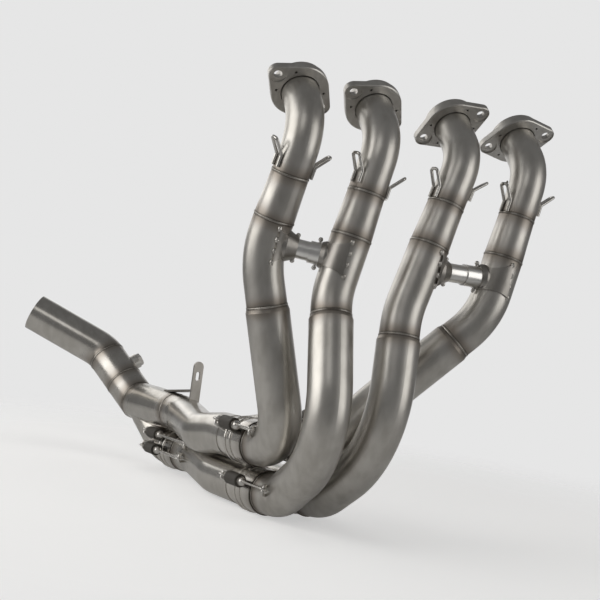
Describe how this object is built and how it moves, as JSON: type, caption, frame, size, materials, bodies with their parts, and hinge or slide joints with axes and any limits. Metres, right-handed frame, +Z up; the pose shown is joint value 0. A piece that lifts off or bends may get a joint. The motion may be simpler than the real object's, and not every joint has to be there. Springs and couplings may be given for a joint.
{
  "type": "motorcycle exhaust header",
  "caption": "Bent steel exhaust header that gathers an in-line row of ports through Y-pieces and a collector into one angled outlet tube.",
  "frame": {"origin": "middle of the port row, in the plane where the flanges bear on the port collars", "axes": "+X along the port row toward the side away from the outlet, +Y rearward along the motorcycle, +Z up"},
  "size_m": [0.444, 0.6307, 0.4635],
  "materials": {
    "tube_steel": "brushed, heat tinted beside the welds",
    "flange_steel": "satin machined",
    "slip_steel": "fine turned",
    "bright_steel": "polished",
    "wire_steel": "drawn wire",
    "bracket_steel": "satin sheet",
    "boss_steel": "turned",
    "sleeve_rubber": "matt"
  },
  "bodies": {
    "root": {"crossover_front_pins": "wire_steel", "crossover_front_saddle_left": "tube_steel", "crossover_front_saddle_right": "tube_steel", "crossover_front_tube_left": "bright_steel", "crossover_front_tube_right": "bright_steel", "crossover_rear_pins": "wire_steel", "crossover_rear_saddle_left": "tube_steel", "crossover_rear_saddle_right": "tube_steel", "crossover_rear_tube_left": "bright_steel", "crossover_rear_tube_right": "bright_steel", "elbow_lower": "tube_steel", "elbow_upper": "tube_steel", "final_collector": "tube_steel", "hanger_bracket": "bracket_steel", "lower_primary_1": "tube_steel", "lower_primary_2": "tube_steel", "lower_primary_3": "tube_steel", "lower_primary_4": "tube_steel", "lower_socket": "slip_steel", "lower_spigot": "slip_steel", "lower_y_piece": "tube_steel", "middle_bend_1": "tube_steel", "middle_bend_2": "tube_steel", "middle_bend_3": "tube_steel", "middle_bend_4": "tube_steel", "outlet_tube": "tube_steel", "port_bend_1": "tube_steel", "port_bend_2": "tube_steel", "port_bend_3": "tube_steel", "port_bend_4": "tube_steel", "port_collar_1": "flange_steel", "port_collar_2": "flange_steel", "port_collar_3": "flange_steel", "port_collar_4": "flange_steel", "port_flange_1": "flange_steel", "port_flange_2": "flange_steel", "port_flange_3": "flange_steel", "port_flange_4": "flange_steel", "port_hooks_1": "wire_steel", "port_hooks_2": "wire_steel", "port_hooks_3": "wire_steel", "port_hooks_4": "wire_steel", "retaining_springs": "wire_steel", "sensor_boss": "boss_steel", "sensor_plug": "boss_steel", "slip_socket_1": "slip_steel", "slip_socket_2": "slip_steel", "slip_socket_3": "slip_steel", "slip_socket_4": "slip_steel", "slip_spigot_1": "slip_steel", "slip_spigot_2": "slip_steel", "slip_spigot_3": "slip_steel", "slip_spigot_4": "slip_steel", "spring_hooks": "wire_steel", "spring_sleeves": "sleeve_rubber", "upper_tube_1": "tube_steel", "upper_tube_2": "tube_steel", "upper_tube_3": "tube_steel", "upper_tube_4": "tube_steel", "upper_y_piece": "tube_steel"}
  },
  "joints": []
}
